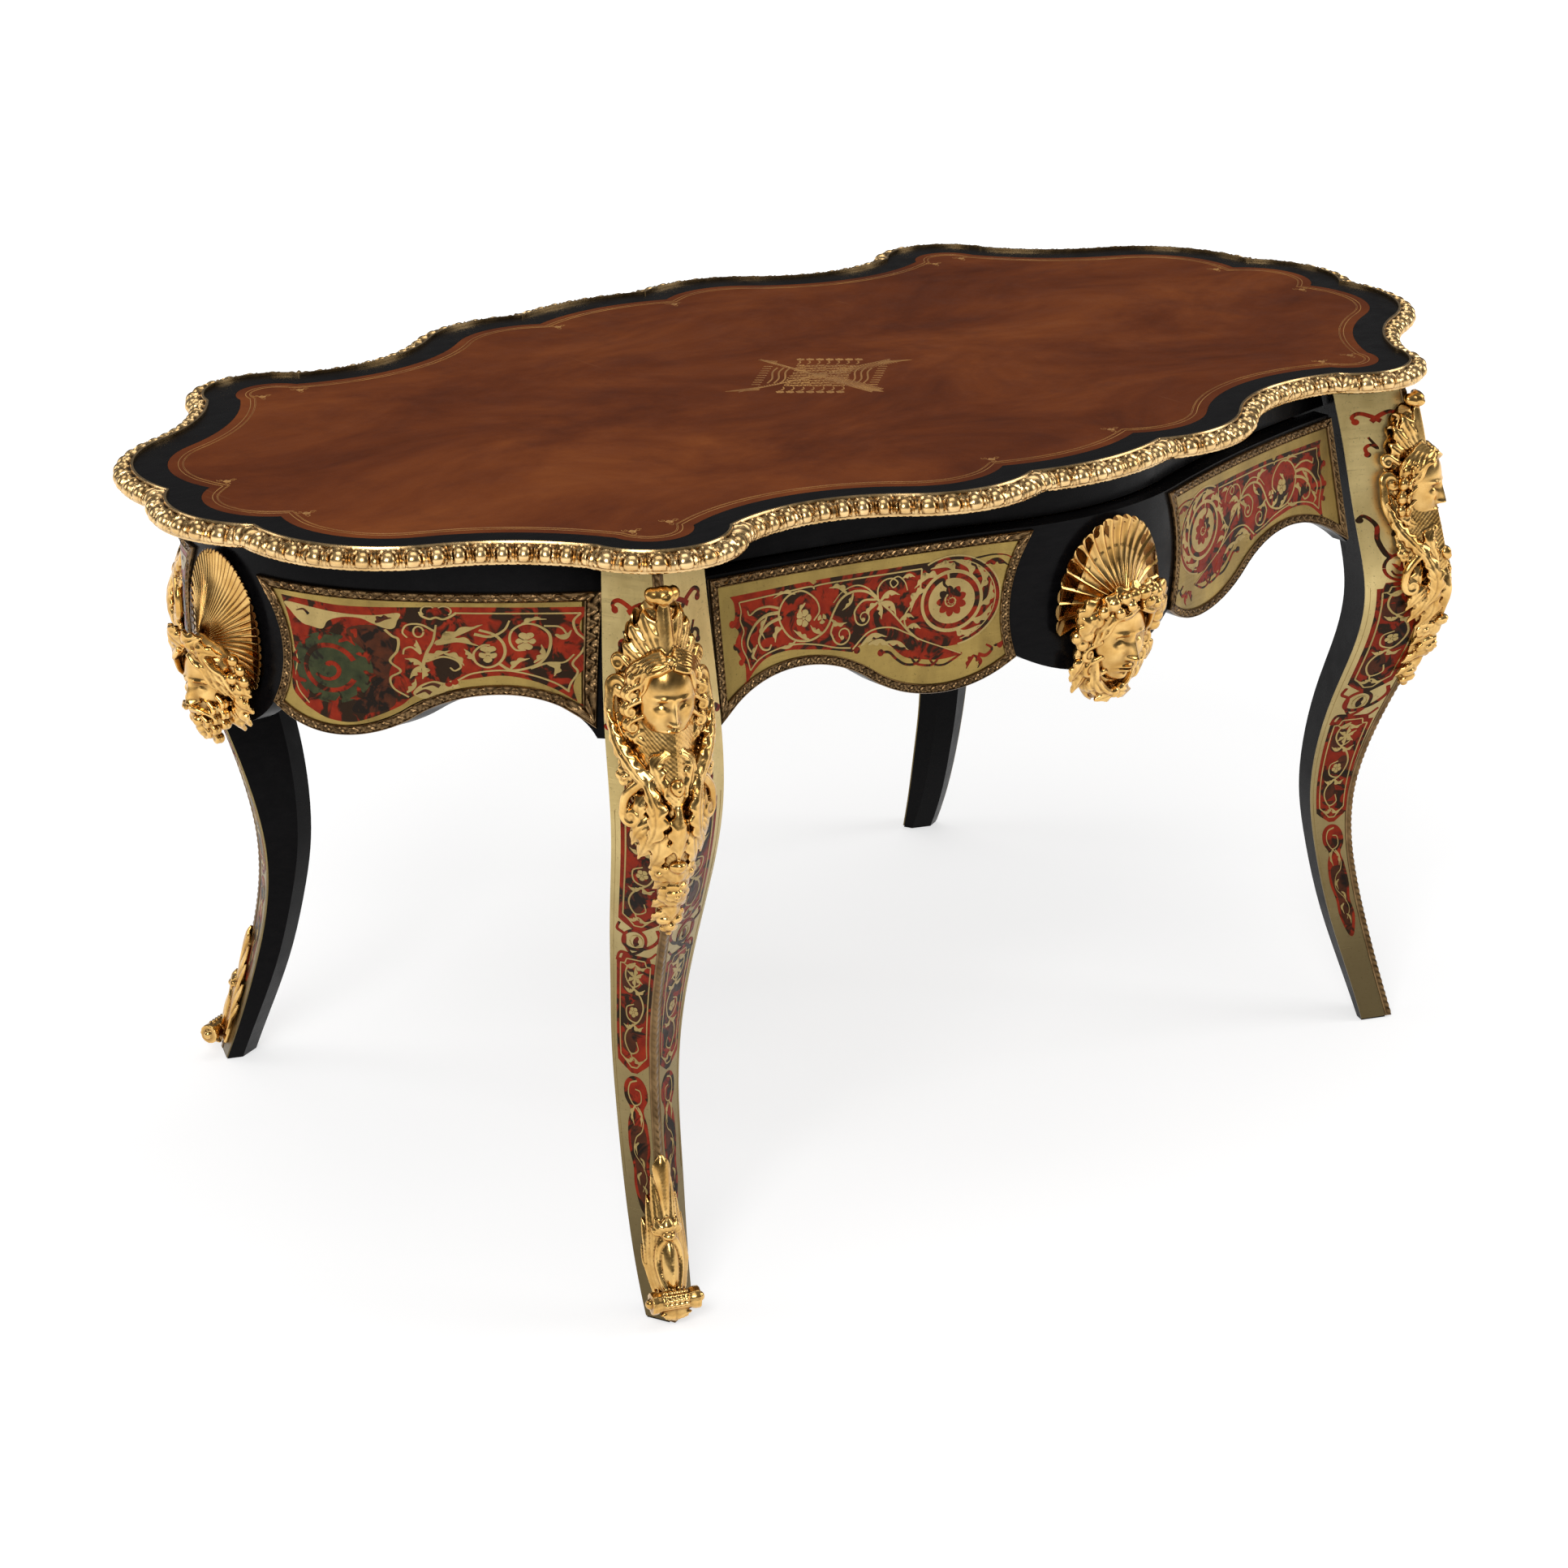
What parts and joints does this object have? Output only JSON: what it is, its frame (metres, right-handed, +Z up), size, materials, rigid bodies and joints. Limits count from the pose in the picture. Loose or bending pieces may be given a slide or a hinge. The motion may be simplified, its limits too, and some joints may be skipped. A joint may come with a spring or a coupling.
{
  "type": "bureau plat writing table",
  "caption": "Flat writing table with a shaped leather top, gilt egg-and-dart edge, brass and shell marquetry, bronze masks, cabriole legs and one sliding drawer.",
  "frame": {"origin": "on the floor under the middle of the top", "axes": "+X along the table, +Y to the back, +Z up; the drawer opens towards -Y"},
  "size_m": [1.5918, 0.936, 0.762],
  "materials": {
    "ebonised_wood": "black stained and polished, worn at the edges",
    "leather": "old mottled leather with gold tooling",
    "gilt_bronze": "worn gilding over cast bronze",
    "antique_bronze": "dark antique bronze, chased",
    "inlay_brass": "engraved brass sheet, dull",
    "tortoiseshell": "red and dark shell, polished",
    "drawer_oak": "plain planed oak",
    "steel": "dull steel"
  },
  "bodies": {
    "carcass": {"arris_strip_back_left": "antique_bronze", "arris_strip_back_right": "antique_bronze", "arris_strip_front_left": "antique_bronze", "arris_strip_front_right": "antique_bronze", "block_screws": "steel", "border_back_left": "antique_bronze", "border_back_right": "antique_bronze", "border_left_back": "antique_bronze", "border_left_front": "antique_bronze", "border_right_back": "antique_bronze", "border_right_front": "antique_bronze", "corner_mount_back_left": "gilt_bronze", "corner_mount_back_right": "gilt_bronze", "corner_mount_front_left": "gilt_bronze", "corner_mount_front_right": "gilt_bronze", "drawer_guides": "drawer_oak", "drawer_kickers": "drawer_oak", "drawer_runners": "drawer_oak", "drawer_stops": "drawer_oak", "edge_moulding_back": "gilt_bronze", "edge_moulding_corners": "gilt_bronze", "edge_moulding_front": "gilt_bronze", "edge_moulding_left": "gilt_bronze", "edge_moulding_right": "gilt_bronze", "frieze_back": "ebonised_wood", "frieze_left": "ebonised_wood", "frieze_right": "ebonised_wood", "front_rail": "ebonised_wood", "glue_blocks": "drawer_oak", "leather_inset": "leather", "leg_back_left": "ebonised_wood", "leg_back_right": "ebonised_wood", "leg_front_left": "ebonised_wood", "leg_front_right": "ebonised_wood", "leg_marquetry_back_left": "inlay_brass", "leg_marquetry_back_right": "inlay_brass", "leg_marquetry_front_left": "inlay_brass", "leg_marquetry_front_right": "inlay_brass", "marquetry_back_left": "tortoiseshell", "marquetry_back_right": "tortoiseshell", "marquetry_left_back": "tortoiseshell", "marquetry_left_front": "tortoiseshell", "marquetry_right_back": "tortoiseshell", "marquetry_right_front": "tortoiseshell", "mask_back": "gilt_bronze", "mask_left": "gilt_bronze", "mask_right": "gilt_bronze", "sabot_back_left": "gilt_bronze", "sabot_front_left": "gilt_bronze", "top_panel": "ebonised_wood"},
    "drawer": {"border_drawer_left": "antique_bronze", "border_drawer_right": "antique_bronze", "drawer_back": "drawer_oak", "drawer_bottom": "drawer_oak", "drawer_front": "ebonised_wood", "drawer_side_left": "drawer_oak", "drawer_side_right": "drawer_oak", "marquetry_drawer_left": "tortoiseshell", "marquetry_drawer_right": "tortoiseshell", "mask_drawer": "gilt_bronze"}
  },
  "joints": [
    {"name": "drawer_slide", "type": "slide", "parent": "carcass", "child": "drawer", "axis": [0, -1, 0], "range_m": [-0.018, 0.3]}
  ]
}
